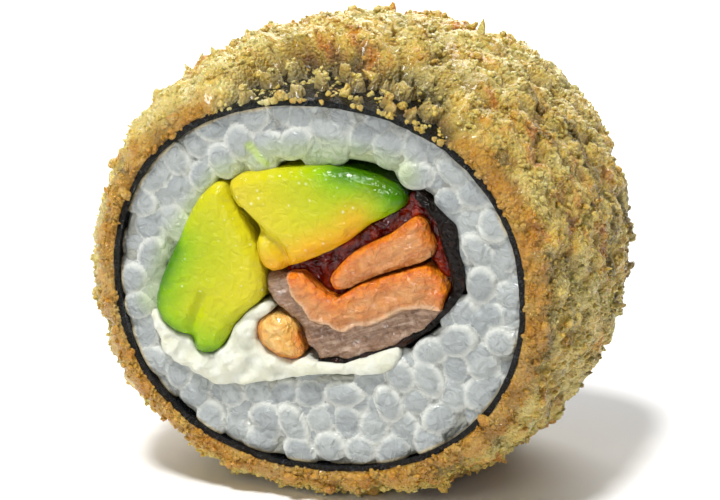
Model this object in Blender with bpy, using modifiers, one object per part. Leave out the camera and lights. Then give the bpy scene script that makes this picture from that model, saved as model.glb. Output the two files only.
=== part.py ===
"""A thick slice of fried sushi roll, lying on its side: crumb crust, nori, rice and the fillings.

The roll's axis runs along Y and the cut faces look along -Y (front) and +Y (back). The origin is the
middle of the flat spot that it rests on. Lengths are in metres.
"""

import math
import random

import bmesh
import bpy
from mathutils import Vector, noise

MM = 0.001

# The cut face: a rounded, slightly square oval that leans a little.
RICE_HALF_WIDTH = 21.0 * MM
RICE_HALF_HEIGHT = 18.5 * MM
SQUARENESS = 2.17
LEAN = math.radians(1.6)

# Along the roll: soft rolls swell between the two cuts, and the fillings turn a little.
ROLL_LENGTH = 31.0 * MM
BELLY = 1.2 * MM
BELLY_ROUNDNESS = 0.7
FILLING_TWIST = math.radians(-9.0)

# Layers.
GAP = 0.3 * MM
NORI_THICKNESS = 0.6 * MM
CRUST_AT_CUT = 1.4 * MM
CRUST_AT_BELLY = 2.9 * MM
AXIS_HEIGHT = 22.7 * MM

# Where each piece ends, measured out from the plane of the cut.
RICE_CORE_OUT = -1.0 * MM
CRUST_OUT = -0.1 * MM

# Rice grains.
GRAIN_WIDTH = 3.2 * MM
GRAIN_LENGTH = 4.2 * MM
GRAIN_SPACING = 3.05 * MM
GRAIN_TIP = math.radians(5.0)
GRAIN_SEED = 11
GRAIN_SIDES = 6
GRAIN_RINGS = 3

# The crust's relief: clumps of crumbs, and the patch at the top of the front cut that they fell off.
CRAG_HEIGHT = 1.5 * MM
CRAG_SIZE = 3.4 * MM
CRUST_SIDES = 104
CRUST_ROWS = 18
PATCH_MIDDLE = math.radians(82.0)
PATCH_SPREAD = math.radians(27.0)
PATCH_DEPTH = 4.6 * MM

LAYER_SIDES = 48
MANY_POINTS = 20  # an outline with as many points is drawn straight from one to the next
LONGER = 4.0 * MM  # how far a cutter runs past the roll at each end

# Outlines of the fillings on the cut face, in millimetres from the roll's axis, x to the right and z up.
AVOCADO_WEDGE = (
    (-9.8, 9.8), (-11.2, 9.2), (-12.9, 7.0), (-14.3, 3.9), (-15.7, 1.0), (-16.8, -2.0), (-17.0, -3.8),
    (-15.2, -5.9), (-13.5, -6.2), (-12.8, -7.6), (-11.2, -7.8), (-9.9, -6.6), (-8.9, -4.7), (-7.2, -2.8),
    (-5.8, -1.5), (-5.7, 1.0), (-6.5, 4.0), (-7.8, 6.3), (-9.1, 8.4),
)
AVOCADO_SLICE = (
    (-8.8, 10.2), (-6.2, 11.2), (-2.7, 11.9), (1.3, 12.3), (4.7, 12.0), (8.0, 10.9), (9.2, 9.9), (8.2, 8.7),
    (5.5, 7.2), (3.2, 5.2), (0.1, 3.4), (-2.6, 2.2), (-4.5, 1.5), (-5.7, 2.4), (-6.0, 4.3), (-5.7, 5.3),
    (-7.2, 6.9), (-8.5, 8.6),
)
SALMON_STRIP = (
    (1.6, 0.5), (2.6, 2.5), (4.8, 4.5), (7.9, 6.2), (9.7, 7.7), (10.9, 8.2), (11.4, 6.9), (12.1, 5.6),
    (11.8, 4.4), (9.8, 3.4), (6.5, 2.1), (4.4, 1.0), (2.6, 0.2),
)
SALMON_FLESH = (
    (-2.9, 1.2), (-1.4, 1.4), (-0.4, 0.5), (1.0, -0.5), (2.3, -1.0), (3.6, 0.0), (5.0, 0.9), (8.6, 2.3),
    (11.6, 3.4), (13.0, 2.2), (13.6, 1.0), (12.8, -0.4), (10.8, -1.0), (8.9, -1.4), (7.2, -2.5), (5.4, -3.3),
    (3.2, -4.2), (1.6, -3.7), (-0.5, -3.3), (-1.4, -1.9), (-2.3, -1.0),
)
SALMON_BROWN_LAYER = (
    (-5.6, -0.4), (-5.3, 0.7), (-4.2, 1.1), (-2.6, 0.8), (-1.6, -0.6), (0.6, -2.0), (5.0, -2.0), (9.5, -0.2),
    (12.8, 1.4), (13.6, 0.6), (12.9, -1.0), (11.2, -2.8), (8.4, -4.6), (5.4, -5.9), (3.0, -6.9), (0.3, -7.0),
    (-1.0, -6.1), (-1.6, -4.2), (-3.0, -3.1), (-4.4, -2.1),
)
SALMON_CHUNK = (
    (-6.0, -4.2), (-6.1, -5.8), (-5.2, -6.8), (-2.6, -7.7), (-1.5, -6.9), (-2.1, -5.4), (-2.4, -4.2),
    (-4.0, -3.4),
)
SALMON_SKIN = (
    (10.3, 10.8), (12.8, 8.8), (14.3, 7.5), (14.5, 5.2), (15.1, 2.8), (15.1, 1.3), (14.2, -0.3),
    (11.9, -3.1), (8.9, -5.3), (5.7, -6.6), (3.1, -7.8), (0.2, -7.9), (0.2, -7.3), (2.9, -7.2),
    (5.4, -6.1), (8.5, -4.8), (11.3, -2.7), (13.5, -0.1), (14.3, 1.4), (14.0, 2.8), (13.3, 4.6),
    (12.9, 6.4), (12.3, 8.1), (10.2, 10.2),
)
SAUCE = (
    (9.7, 10.3), (10.5, 9.8), (12.1, 8.0), (12.7, 6.2), (13.4, 3.6), (13.6, 2.3), (12.0, 3.8), (9.0, 4.5),
    (6.5, 4.0), (3.5, 2.0), (2.4, -0.8), (1.2, -0.2), (-1.6, 1.3), (-3.4, 1.5), (-0.6, 3.4), (3.2, 5.2),
    (5.6, 7.2), (8.3, 8.8),
)
CREAM_CHEESE = (
    (-17.7, -4.2), (-16.9, -4.4), (-15.1, -6.4), (-13.6, -6.7), (-12.9, -8.1), (-11.0, -8.3), (-9.5, -6.9),
    (-8.5, -4.9), (-6.9, -3.1), (-5.5, -2.2), (-4.7, -2.6), (-6.4, -4.0), (-6.6, -6.0), (-5.5, -7.3),
    (-2.7, -8.2), (-1.1, -7.6), (0.4, -8.3), (3.2, -8.1), (5.9, -7.0), (8.8, -5.8), (8.3, -7.2),
    (6.8, -8.1), (3.0, -8.6), (-0.6, -8.9), (-3.8, -9.8), (-7.5, -10.7), (-10.9, -11.1), (-12.7, -9.9),
    (-15.1, -9.1), (-16.2, -7.4), (-17.3, -5.6),
)
HOLLOW_IN_RICE = (
    (-9.6, 10.6), (-7.4, 11.6), (-4.0, 12.6), (-0.4, 13.2), (3.0, 13.3), (6.0, 13.0), (9.0, 12.1),
    (11.3, 10.8), (13.4, 9.0), (14.9, 7.7), (15.1, 5.2), (15.6, 2.9), (15.6, 1.1), (14.6, -0.6),
    (12.2, -3.5), (9.6, -5.6), (8.7, -7.4), (7.0, -8.6), (3.1, -9.1), (-0.5, -9.4), (-3.8, -10.3),
    (-7.5, -11.2), (-11.0, -11.6), (-13.0, -10.4), (-15.5, -9.5), (-16.6, -7.7), (-17.8, -5.8),
    (-18.2, -4.2), (-17.4, -1.9), (-16.2, 1.2), (-14.9, 4.1), (-13.5, 7.2), (-11.7, 9.7),
)


def clear_scene():
    for obj in list(bpy.data.objects):
        bpy.data.objects.remove(obj, do_unlink=True)


def new_collection(name):
    made = bpy.data.collections.new(name)
    bpy.context.scene.collection.children.link(made)
    return made


def material(name, colour, roughness, metallic=0.0):
    made = bpy.data.materials.new(name)
    made.use_nodes = True
    shader = made.node_tree.nodes["Principled BSDF"]
    shader.inputs["Base Color"].default_value = (*colour, 1.0)
    shader.inputs["Roughness"].default_value = roughness
    shader.inputs["Metallic"].default_value = metallic
    return made


def object_from(name, bm, collection, finish=None):
    bmesh.ops.recalc_face_normals(bm, faces=bm.faces)
    mesh = bpy.data.meshes.new(name)
    bm.to_mesh(mesh)
    bm.free()
    obj = bpy.data.objects.new(name, mesh)
    collection.objects.link(obj)
    if finish is not None:
        mesh.materials.append(finish)
    return obj


def make_cutter(obj):
    obj.hide_render = True
    obj.display_type = "WIRE"
    return obj


def swell(y):
    """How much of the belly a section at y has: 0 at a cut, 1 half way along."""
    along = min(1.0, abs(y) / (ROLL_LENGTH / 2))
    return (1.0 - along * along) ** BELLY_ROUNDNESS


def section_radius(angle, outside):
    """From the axis to the roll's section at this angle, with the section grown by outside."""
    a = RICE_HALF_WIDTH + outside
    b = RICE_HALF_HEIGHT + outside
    c, s = abs(math.cos(angle - LEAN)), abs(math.sin(angle - LEAN))
    return ((c / a) ** SQUARENESS + (s / b) ** SQUARENESS) ** (-1.0 / SQUARENESS)


def on_section(angle, y, outside):
    radius = section_radius(angle, outside + BELLY * swell(y))
    return Vector((radius * math.cos(angle), y, AXIS_HEIGHT + radius * math.sin(angle)))


def roll_body(half_length, sides, rows):
    """A capped cylinder along Y, with its rows spread evenly, as the start of each layer."""
    bm = bmesh.new()
    bmesh.ops.create_grid(bm, x_segments=sides, y_segments=rows, size=1.0)
    # The grid is wrapped round the axis: its x runs round the roll and its y along it.
    for vert in bm.verts:
        angle = math.pi * (vert.co.x + 1.0)
        vert.co = Vector((math.cos(angle), vert.co.y * half_length, math.sin(angle)))
    bmesh.ops.remove_doubles(bm, verts=bm.verts, dist=1e-5)
    rims = [edge for edge in bm.edges if edge.is_boundary]
    bmesh.ops.holes_fill(bm, edges=rims, sides=0)
    return bm


def angle_of(co):
    return math.atan2(co.z, co.x)


def layer(name, collection, outside, half_length, rows=4, finish=None):
    """A solid of the roll's own form, grown by outside."""
    bm = roll_body(half_length, LAYER_SIDES, rows)
    for vert in bm.verts:
        vert.co = on_section(angle_of(vert.co), vert.co.y, outside)
    return object_from(name, bm, collection, finish)


def boolean(obj, operation, other, solver="EXACT"):
    modifier = obj.modifiers.new(operation.lower(), "BOOLEAN")
    modifier.operation = operation
    modifier.solver = solver
    modifier.object = other
    return modifier


def fuse(obj, group, solver="EXACT"):
    """Joins all of a collection's objects into obj, and removes them."""
    modifier = obj.modifiers.new("fuse", "BOOLEAN")
    modifier.operation = "UNION"
    modifier.solver = solver
    modifier.operand_type = "COLLECTION"
    modifier.collection = group
    bpy.context.view_layer.objects.active = obj
    bpy.ops.object.modifier_apply(modifier=modifier.name)
    for piece in list(group.objects):
        bpy.data.objects.remove(piece, do_unlink=True)
    bpy.data.collections.remove(group)


def apply_modifiers(obj):
    bpy.context.view_layer.objects.active = obj
    for modifier in list(obj.modifiers):
        bpy.ops.object.modifier_apply(modifier=modifier.name)


def keep_outer_shell(obj):
    """Fills the voids that joined grains close off, and drops loose scraps: only the largest shell stays."""
    bm = bmesh.new()
    bm.from_mesh(obj.data)
    bmesh.ops.triangulate(bm, faces=bm.faces)
    unseen = set(bm.faces)
    shells = []
    while unseen:
        shell = [unseen.pop()]
        for face in shell:
            for edge in face.edges:
                for other in edge.link_faces:
                    if other in unseen:
                        unseen.remove(other)
                        shell.append(other)
        shells.append(shell)
    largest = max(shells, key=len)
    scraps = [face for shell in shells if shell is not largest for face in shell]
    bmesh.ops.delete(bm, geom=scraps, context="FACES")
    bm.to_mesh(obj.data)
    bm.free()


def turned(loop, angle):
    c, s = math.cos(angle), math.sin(angle)
    return [Vector((p.x * c - p.y * s, p.x * s + p.y * c)) for p in loop]


def twist_at(y):
    """How far the fillings have turned at y, counted from the front cut."""
    return FILLING_TWIST * (y / ROLL_LENGTH + 0.5)


def smooth_loop(points, grow=0.0):
    """The outline as a smooth closed loop of (x, z) in metres, grown outwards."""
    curve = bpy.data.curves.new("outline", "CURVE")
    curve.resolution_u = 2 if len(points) < MANY_POINTS else 1
    spline = curve.splines.new("BEZIER")
    spline.bezier_points.add(len(points) - 1)
    spline.use_cyclic_u = True
    for knot, (x, z) in zip(spline.bezier_points, points):
        knot.co = (x * MM, z * MM, 0.0)
        knot.handle_left_type = knot.handle_right_type = "AUTO"
    guide = bpy.data.objects.new("outline", curve)
    bpy.context.scene.collection.objects.link(guide)
    bpy.context.view_layer.update()
    mesh = bpy.data.meshes.new_from_object(guide.evaluated_get(bpy.context.evaluated_depsgraph_get()))
    loop = [Vector((v.co.x, v.co.y)) for v in mesh.vertices]
    bpy.data.objects.remove(guide, do_unlink=True)
    bpy.data.meshes.remove(mesh)
    turned = sum(a.cross(b) for a, b in zip(loop, loop[1:] + loop[:1]))
    if turned < 0:
        loop.reverse()
    grown = []
    for before, here, after in zip(loop[-1:] + loop[:-1], loop, loop[1:] + loop[:1]):
        way = (after - before).normalized()
        grown.append(here + Vector((way.y, -way.x)) * grow)
    return grown


def strand(name, collection, loop, out, finish=None):
    """A filling that runs through the roll: the loop bridged from past one cut to past the other."""
    bm = bmesh.new()
    half = ROLL_LENGTH / 2 + out
    rings = []
    for y in (-half, half):
        verts = [bm.verts.new((p.x, y, AXIS_HEIGHT + p.y)) for p in turned(loop, twist_at(y))]
        rings.append(bm.faces.new(verts))
    edges = [edge for face in rings for edge in face.edges]
    bmesh.ops.bridge_loops(bm, edges=edges)
    return object_from(name, bm, collection, finish)


def round_rims(obj, width, segments=1):
    """Softens the edges where a filling was cut, and leaves its sides as they are."""
    bevel = obj.modifiers.new("rims", "BEVEL")
    bevel.width = width
    bevel.segments = segments
    bevel.limit_method = "ANGLE"
    bevel.angle_limit = math.radians(60)
    bevel.use_clamp_overlap = True


def lump(name, collection, place, sizes, turn, detail=1):
    """An egg-shaped lump: a low ball, stretched to sizes and turned about Y."""
    bm = bmesh.new()
    bmesh.ops.create_icosphere(bm, subdivisions=detail, radius=0.5)
    for vert in bm.verts:
        x, z = vert.co.x * sizes[0], vert.co.z * sizes[2]
        vert.co = Vector((
            place[0] + x * math.cos(turn) - z * math.sin(turn),
            place[1] + vert.co.y * sizes[1],
            place[2] + x * math.sin(turn) + z * math.cos(turn),
        ))
    return object_from(name, bm, collection)


def distance_to(loop, point):
    """From a point to a closed loop, negative inside it."""
    nearest, inside = 1.0, False
    for a, b in zip(loop, loop[1:] + loop[:1]):
        side = b - a
        share = max(0.0, min(1.0, (point - a).dot(side) / side.length_squared))
        nearest = min(nearest, (a + side * share - point).length)
        if (a.y > point.y) != (b.y > point.y):
            if point.x < a.x + (point.y - a.y) * side.x / side.y:
                inside = not inside
    return -nearest if inside else nearest


def room_for_rice(point, hollow):
    """How far a point of the cut face is inside the rice, from the nori and from the hollow."""
    from_nori = section_radius(math.atan2(point.y, point.x), 0.0) - point.length
    return min(from_nori, distance_to(hollow, point))


def grain_places(hollow, rng):
    """Spreads the grains over the rice: seeded at random, then pushed apart until they lie evenly."""
    edge = GRAIN_WIDTH * 0.33
    places = []
    for _ in range(5000):
        spot = Vector((rng.uniform(-1, 1) * RICE_HALF_WIDTH, rng.uniform(-1, 1) * RICE_HALF_HEIGHT))
        clear = all((spot - other).length > GRAIN_SPACING * 0.8 for other in places)
        if clear and room_for_rice(spot, hollow) > edge:
            places.append(spot)
    for _ in range(40):
        for index, spot in enumerate(places):
            push = Vector((0.0, 0.0))
            for other in places:
                apart = spot - other
                if 0 < apart.length < GRAIN_SPACING:
                    push += apart.normalized() * (GRAIN_SPACING - apart.length) * 0.4
            moved = spot + push
            if room_for_rice(moved, hollow) > edge:
                places[index] = moved
    return places


def rice_grain(name, collection, place, length, width, turn, tip):
    """One grain: a long ball of few sides, lying across the cut and tipped into it."""
    bm = bmesh.new()
    bmesh.ops.create_uvsphere(bm, u_segments=GRAIN_SIDES, v_segments=GRAIN_RINGS, radius=0.5)
    for vert in bm.verts:
        along, across, deep = vert.co.z * length, vert.co.x * width, vert.co.y * width
        tipped = along * math.cos(tip) - deep * math.sin(tip)
        deep = along * math.sin(tip) + deep * math.cos(tip)
        vert.co = Vector((
            place.x + tipped * math.cos(turn) - across * math.sin(turn),
            place.y + deep,
            place.z + tipped * math.sin(turn) + across * math.cos(turn),
        ))
    return object_from(name, bm, collection)


def make_rice(parts, cutters, finish):
    hollow = smooth_loop(HOLLOW_IN_RICE)
    rice = layer("rice", parts, -GAP, ROLL_LENGTH / 2 + RICE_CORE_OUT, finish=finish)
    grains = new_collection("grains")
    rng = random.Random(GRAIN_SEED)
    for face in (-1, 1):
        hollow_here = turned(hollow, twist_at(face * ROLL_LENGTH / 2))
        for number, spot in enumerate(grain_places(hollow_here, rng)):
            width = GRAIN_WIDTH * rng.uniform(0.92, 1.15)
            length = GRAIN_LENGTH * rng.uniform(0.8, 1.2)
            depth = ROLL_LENGTH / 2 - width * rng.uniform(0.45, 0.52)
            place = Vector((spot.x, face * depth, AXIS_HEIGHT + spot.y))
            turn = rng.uniform(0, math.pi)
            tip = rng.uniform(-GRAIN_TIP, GRAIN_TIP)
            rice_grain(f"grain_{face}_{number}", grains, place, length, width, turn, tip)
    fuse(rice, grains)
    envelope = layer("rice_envelope", cutters, -GAP, ROLL_LENGTH / 2 + LONGER)
    boolean(rice, "INTERSECT", make_cutter(envelope), solver="MANIFOLD")
    fillings = make_cutter(strand("rice_hollow", cutters, hollow, LONGER))
    boolean(rice, "DIFFERENCE", fillings, solver="MANIFOLD")
    apply_modifiers(rice)
    keep_outer_shell(rice)
    return rice


def make_nori(parts, cutters, finish):
    nori = layer("nori", parts, NORI_THICKNESS, ROLL_LENGTH / 2, finish=finish)
    inside = layer("nori_inside", cutters, 0.0, ROLL_LENGTH / 2 + LONGER, rows=5)
    boolean(nori, "DIFFERENCE", make_cutter(inside))
    return nori


def crag(co):
    """The relief of the crumb coat at a point: rounded clumps with creases between them, from -1 to 1."""
    at = co / CRAG_SIZE
    to_clump = noise.voronoi(at)[0][0]
    return max(-1.0, 0.55 - 1.5 * to_clump * to_clump + 0.35 * noise.fractal(at * 1.7, 0.9, 2.1, 3))


def coat_left(angle, y):
    """0 where the coat broke off at the top of the front cut, 1 where it is whole."""
    across = (angle - PATCH_MIDDLE) / PATCH_SPREAD
    ragged = 1.3 * MM * noise.noise(Vector((9.0 * angle, 0.0, 3.0)))
    bare_to = PATCH_DEPTH * (1.0 - across * across) + ragged
    from_front = y + ROLL_LENGTH / 2
    return min(1.0, max(0.0, (from_front - bare_to) / (1.2 * MM)))


def make_crust(parts, cutters, finish):
    inner = NORI_THICKNESS + GAP
    half = ROLL_LENGTH / 2 + CRUST_OUT
    bm = roll_body(half, CRUST_SIDES, CRUST_ROWS)
    for vert in bm.verts:
        angle, y = angle_of(vert.co), vert.co.y
        thickness = CRUST_AT_CUT + (CRUST_AT_BELLY - CRUST_AT_CUT) * swell(y)
        relief = CRAG_HEIGHT * crag(on_section(angle, y, inner + thickness))
        left = coat_left(angle, y)
        vert.co = on_section(angle, y, inner - GAP * (1.0 - left) + (thickness + relief) * left)
    crust = object_from("crust", bm, parts, finish)
    inside = layer("crust_inside", cutters, inner, ROLL_LENGTH / 2 + LONGER, rows=5)
    boolean(crust, "DIFFERENCE", make_cutter(inside))
    boolean(crust, "DIFFERENCE", make_table(cutters))
    return crust


def make_table(cutters):
    """A block whose top is the plane z = 0, which leaves the flat spot that the roll rests on."""
    bm = bmesh.new()
    side = 80.0 * MM
    bmesh.ops.create_cube(bm, size=side)
    bmesh.ops.translate(bm, verts=bm.verts, vec=(0.0, 0.0, -side / 2))
    return make_cutter(object_from("table", bm, cutters))


def make_fillings(parts, cutters, finishes):
    """The fillings in the order in which they keep their form: each is trimmed to clear the ones before.

    A row holds the name, the outline, how far it stands out of the cut, the rounding of its rim, the
    finish and the neighbours that it clears.
    """
    order = (
        ("avocado_slice", AVOCADO_SLICE, 0.6 * MM, 0.7 * MM, "avocado", ()),
        ("avocado_wedge", AVOCADO_WEDGE, 0.5 * MM, 0.7 * MM, "avocado", ("avocado_slice",)),
        ("salmon_strip", SALMON_STRIP, 0.4 * MM, 0.8 * MM, "salmon", ("avocado_slice",)),
        ("salmon_skin", SALMON_SKIN, -0.3 * MM, 0.15 * MM, "salmon_skin", ("avocado_slice",)),
        ("salmon_slab", SALMON_FLESH, 0.4 * MM, 0.8 * MM, "salmon",
         ("avocado_slice", "avocado_wedge", "salmon_strip", "salmon_skin")),
        ("salmon_chunk", SALMON_CHUNK, 0.3 * MM, 0.8 * MM, "salmon",
         ("avocado_wedge", "salmon_slab", "salmon_brown", "salmon_skin")),
        ("sauce", SAUCE, -1.3 * MM, 0.2 * MM, "sauce",
         ("avocado_slice", "salmon_strip", "salmon_slab", "salmon_brown", "salmon_skin")),
        ("cream_cheese", CREAM_CHEESE, 0.1 * MM, 0.5 * MM, "cream_cheese",
         ("avocado_wedge", "salmon_chunk", "salmon_slab", "salmon_brown", "salmon_skin")),
    )
    clearance = {}
    room = make_cutter(strand("room", cutters, smooth_loop(HOLLOW_IN_RICE, grow=-GAP), LONGER))

    def keep_clear(name, outline):
        loop = smooth_loop(outline, grow=GAP)
        clearance[name] = make_cutter(strand(f"around_{name}", cutters, loop, LONGER))

    for name, outline, out, rim, finish, neighbours in order:
        obj = strand(name, parts, smooth_loop(outline), out, finishes[finish])
        round_rims(obj, rim)
        if name == "salmon_slab":
            keep_clear("salmon_brown", SALMON_BROWN_LAYER)
            fuse_brown_layer(obj)
        if name == "cream_cheese":
            fuse_cheese_lumps(obj)
            boolean(obj, "INTERSECT", room)
        for neighbour in neighbours:
            boolean(obj, "DIFFERENCE", clearance[neighbour])
        keep_clear(name, outline)


def fuse_brown_layer(slab):
    """The fish's brown layer lies a little deeper than the pale flesh, and belongs to the same slab."""
    group = new_collection("brown_layer")
    brown = strand("brown_layer", group, smooth_loop(SALMON_BROWN_LAYER), -0.2 * MM)
    round_rims(brown, 0.6 * MM)
    fuse(slab, group)


def fuse_cheese_lumps(cheese):
    """Soft lumps where the cheese was smeared over the cut."""
    spots = ((-15.6, -7.6, 2.4), (-12.4, -9.2, 2.6), (-8.6, -8.6, 3.4), (-4.6, -8.6, 2.0), (-7.6, -5.2, 2.2))
    group = new_collection("cheese_lumps")
    for face in (-1, 1):
        for number, (x, z, size) in enumerate(spots):
            place = (x * MM, face * (ROLL_LENGTH / 2 - 0.2 * MM), AXIS_HEIGHT + z * MM)
            lump(f"cheese_lump_{face}_{number}", group, place, (size * MM, 1.9 * MM, size * 0.8 * MM), 0.3)
    fuse(cheese, group)


def main():
    clear_scene()
    parts = new_collection("fried_sushi_roll")
    cutters = new_collection("cutters")
    finishes = {
        "crust": material("crust", (0.62, 0.40, 0.14), 0.6),
        "nori": material("nori", (0.012, 0.016, 0.012), 0.4),
        "rice": material("rice", (0.78, 0.79, 0.76), 0.3),
        "avocado": material("avocado", (0.62, 0.60, 0.06), 0.35),
        "salmon": material("salmon", (0.72, 0.34, 0.13), 0.35),
        "salmon_skin": material("salmon_skin", (0.02, 0.014, 0.01), 0.2),
        "sauce": material("sauce", (0.12, 0.015, 0.004), 0.1),
        "cream_cheese": material("cream_cheese", (0.86, 0.86, 0.78), 0.4),
    }
    make_crust(parts, cutters, finishes["crust"])
    make_nori(parts, cutters, finishes["nori"])
    make_rice(parts, cutters, finishes["rice"])
    make_fillings(parts, cutters, finishes)
    for obj in parts.objects:
        obj.data.shade_smooth()
        obj.data.set_sharp_from_angle(angle=math.radians(40))


main()
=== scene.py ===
# %% [markdown]
# # A thick slice of fried sushi roll
#
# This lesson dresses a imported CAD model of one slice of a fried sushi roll. The slice lies on its side and
# shows its cut face: fillings in the middle, then rice, then a black nori sheet, and a golden crumb coat
# outside. The CAD solids give every place and size. Here each of them gets the form and the finish of food.
#
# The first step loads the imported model. Everything is in metres, the roll's axis runs along Y, and the cut
# faces look along -Y (front) and +Y (back).

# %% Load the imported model
import math
import random

import bpy
from mathutils import Matrix, Vector, noise
from mathutils.bvhtree import BVHTree
from mathutils.kdtree import KDTree


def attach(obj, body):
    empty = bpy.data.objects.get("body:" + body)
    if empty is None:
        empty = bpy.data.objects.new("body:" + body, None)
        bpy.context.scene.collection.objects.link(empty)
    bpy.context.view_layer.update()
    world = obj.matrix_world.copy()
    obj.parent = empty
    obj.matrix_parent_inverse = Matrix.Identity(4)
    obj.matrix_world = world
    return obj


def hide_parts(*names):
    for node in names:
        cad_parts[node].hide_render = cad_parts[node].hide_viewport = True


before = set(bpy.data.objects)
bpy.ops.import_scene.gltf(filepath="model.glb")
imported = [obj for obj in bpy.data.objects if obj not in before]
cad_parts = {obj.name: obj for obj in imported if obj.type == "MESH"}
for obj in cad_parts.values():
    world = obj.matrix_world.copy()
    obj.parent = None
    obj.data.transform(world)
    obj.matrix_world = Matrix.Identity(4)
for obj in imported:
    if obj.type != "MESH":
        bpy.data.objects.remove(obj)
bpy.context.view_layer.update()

bpy.ops.object.select_all(action="DESELECT")
MM = 0.001
print("nodes:", sorted(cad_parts))

# %% [markdown]
# ## The roll's own form
#
# A roll is pressed with a mat, so its section is a slightly square oval, and it swells a little between the
# two cuts. The CAD part was made from the same few numbers. They are repeated here, so that the thin coat,
# the nori and the rice can follow the form exactly. One could also read the form off the CAD mesh with rays,
# but a formula is smoother than any mesh.

# %% The section and the belly
ROLL_LENGTH = 31.0 * MM
HALF = ROLL_LENGTH / 2
AXIS_HEIGHT = 22.7 * MM
RICE_HALF_WIDTH = 21.0 * MM
RICE_HALF_HEIGHT = 18.5 * MM
SQUARENESS = 2.17
LEAN = math.radians(1.6)
BELLY = 1.2 * MM
BELLY_ROUNDNESS = 0.7
FILLING_TWIST = math.radians(-9.0)
NORI_THICKNESS = 0.6 * MM


def swell(y):
    """How much of the belly a section at y has: 0 at a cut, 1 half way along."""
    along = min(1.0, abs(y) / HALF)
    return (1.0 - along * along) ** BELLY_ROUNDNESS


def section_radius(angle, outside):
    """From the axis to the roll's section at this angle, with the section grown by outside."""
    a = RICE_HALF_WIDTH + outside
    b = RICE_HALF_HEIGHT + outside
    c, s = abs(math.cos(angle - LEAN)), abs(math.sin(angle - LEAN))
    return ((c / a) ** SQUARENESS + (s / b) ** SQUARENESS) ** (-1.0 / SQUARENESS)


def on_section(angle, y, outside):
    radius = section_radius(angle, outside + BELLY * swell(y))
    return Vector((radius * math.cos(angle), y, AXIS_HEIGHT + radius * math.sin(angle)))


def angle_of(co):
    """The angle of a point round the axis, counted from the right."""
    return math.atan2(co.z - AXIS_HEIGHT, co.x)


def unturned(co):
    """Where a point of the fillings is on the front cut: x and height from the axis, without the twist."""
    turn = -FILLING_TWIST * (co.y / ROLL_LENGTH + 0.5)
    x, z = co.x, co.z - AXIS_HEIGHT
    return Vector((x * math.cos(turn) - z * math.sin(turn), x * math.sin(turn) + z * math.cos(turn)))


def turned(co, point):
    """The other way round: a point of the front cut, brought to where the section at co.y has it."""
    turn = FILLING_TWIST * (co.y / ROLL_LENGTH + 0.5)
    c, s = math.cos(turn), math.sin(turn)
    return Vector((point.x * c - point.y * s, co.y, AXIS_HEIGHT + point.x * s + point.y * c))


def nearest_on_line(point, line):
    """The nearest point of a line through the given corners, all in millimetres on the cut."""
    best = None
    for (ax, az), (bx, bz) in zip(line, line[1:]):
        a, side = Vector((ax, az)), Vector((bx - ax, bz - az))
        share = max(0.0, min(1.0, (point - a).dot(side) / side.length_squared))
        spot = a + side * share
        if best is None or (spot - point).length < (best - point).length:
            best = spot
    return best


def to_line(point, line):
    """From a point of the cut to such a line, in millimetres."""
    return (nearest_on_line(point / MM, line) - point / MM).length


def smoothstep(low, high, value):
    share = min(1.0, max(0.0, (value - low) / (high - low)))
    return share * share * (3.0 - 2.0 * share)


print("section half width at the cut and at the belly, mm:",
      [round(on_section(0.0, y, 0.0).x / MM, 2) for y in (-HALF, 0.0)])

# %% [markdown]
# ## Helpers for the bench
#
# Operators act on what is selected, so a piece is first put alone on the bench. Modifiers are applied, so
# that the finished mesh is real geometry. What repeats many times, such as crumbs and rice grains, is
# modelled once and then set down again and again in one mesh.

# %% Selecting, applying and copying
def alone(obj):
    bpy.ops.object.select_all(action="DESELECT")
    obj.select_set(True)
    bpy.context.view_layer.objects.active = obj
    return obj


def settle(obj):
    """Applies every modifier, in order."""
    alone(obj)
    for modifier in list(obj.modifiers):
        bpy.ops.object.modifier_apply(modifier=modifier.name)
    return obj


EVEN_MESH = 0.24 * MM
FINE_MESH = 0.2 * MM


def remesh_softly(obj, voxel, smooth):
    """Gives a piece an even closed skin of faces as large as a voxel, and smooths it so many times."""
    even = obj.modifiers.new("even", "REMESH")
    even.mode = "VOXEL"
    even.voxel_size = voxel
    obj.modifiers.new("soften", "SMOOTH").iterations = smooth
    return settle(obj)


def edit(obj, *steps):
    """Runs edit mode operators on the whole mesh."""
    alone(obj)
    bpy.ops.object.mode_set(mode="EDIT")
    bpy.ops.mesh.select_all(action="SELECT")
    for step in steps:
        step()
    bpy.ops.object.mode_set(mode="OBJECT")
    return obj


def face_outwards():
    bpy.ops.mesh.normals_make_consistent(inside=False)


def merge_seams():
    bpy.ops.mesh.remove_doubles(threshold=1e-6)


def move_points(obj, rule):
    for vert in obj.data.vertices:
        vert.co = rule(vert)
    obj.data.update()
    return obj


def write_mask(obj, name, rule):
    """Stores a number for each point of the mesh, which a material can read by its name."""
    values = [rule(vert) for vert in obj.data.vertices]
    made = obj.data.attributes.new(name, "FLOAT", "POINT")
    made.data.foreach_set("value", values)


def write_places(obj, name, rule):
    """Stores a place for each point of the mesh, for a pattern that follows the food."""
    made = obj.data.attributes.new(name, "FLOAT_VECTOR", "POINT")
    made.data.foreach_set("vector", [c for vert in obj.data.vertices for c in rule(vert)])


def triangles(obj):
    return sum(len(face.vertices) - 2 for face in obj.data.polygons)


def finish_piece(obj, material, slot, *nodes):
    """Smooth shading, its material, the body it rides on, and the CAD nodes that it stands for."""
    alone(obj)
    obj.data.materials.clear()
    obj.data.materials.append(material)
    bpy.ops.object.shade_smooth()
    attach(obj, "root")
    if nodes:
        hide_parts(*nodes)
    print(f"{obj.name}: {triangles(obj)} triangles")


def new_object(name, data):
    obj = bpy.data.objects.new(name, data)
    bpy.context.scene.collection.objects.link(obj)
    return obj


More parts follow.
